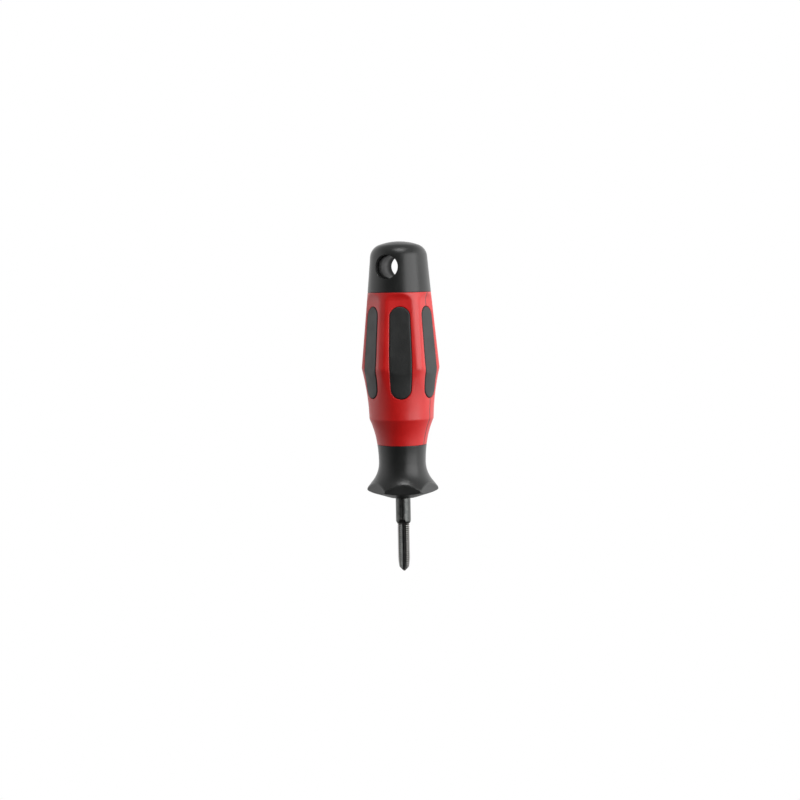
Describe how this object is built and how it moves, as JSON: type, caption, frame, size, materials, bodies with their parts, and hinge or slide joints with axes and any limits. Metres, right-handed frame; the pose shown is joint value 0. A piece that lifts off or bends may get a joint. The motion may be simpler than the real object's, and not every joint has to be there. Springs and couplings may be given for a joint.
{
  "type": "tyre plug insertion tool",
  "caption": "Hand tool with a short fluted, threaded and pointed steel shaft in a flared, faceted two-colour grip with a hang hole through its domed cap.",
  "frame": {"origin": "the shaft's point, on the tool's axis", "axes": "+Z from the point up the handle to the cap; -Y faces the front pad, on whose side the hang hole opens turned 18.5 degrees towards -X"},
  "size_m": [0.0312, 0.0288, 0.1325],
  "materials": {
    "shaft_steel": "black oxide, worn bright along the thread's crests and flute edges",
    "core_black": "hard moulded plastic, satin",
    "shell_black": "moulded plastic, satin, fine texture",
    "sleeve_red": "moulded plastic, satin, fine texture",
    "pad_rubber": "soft moulded rubber, matt, fine grain"
  },
  "bodies": {
    "root": {"tap_shaft": "shaft_steel", "handle_core": "core_black", "hand_guard": "shell_black", "grip_sleeve": "sleeve_red", "pad_front": "pad_rubber", "pad_front_right": "pad_rubber", "pad_back_right": "pad_rubber", "pad_back": "pad_rubber", "pad_back_left": "pad_rubber", "pad_front_left": "pad_rubber", "end_cap": "shell_black"}
  },
  "joints": []
}
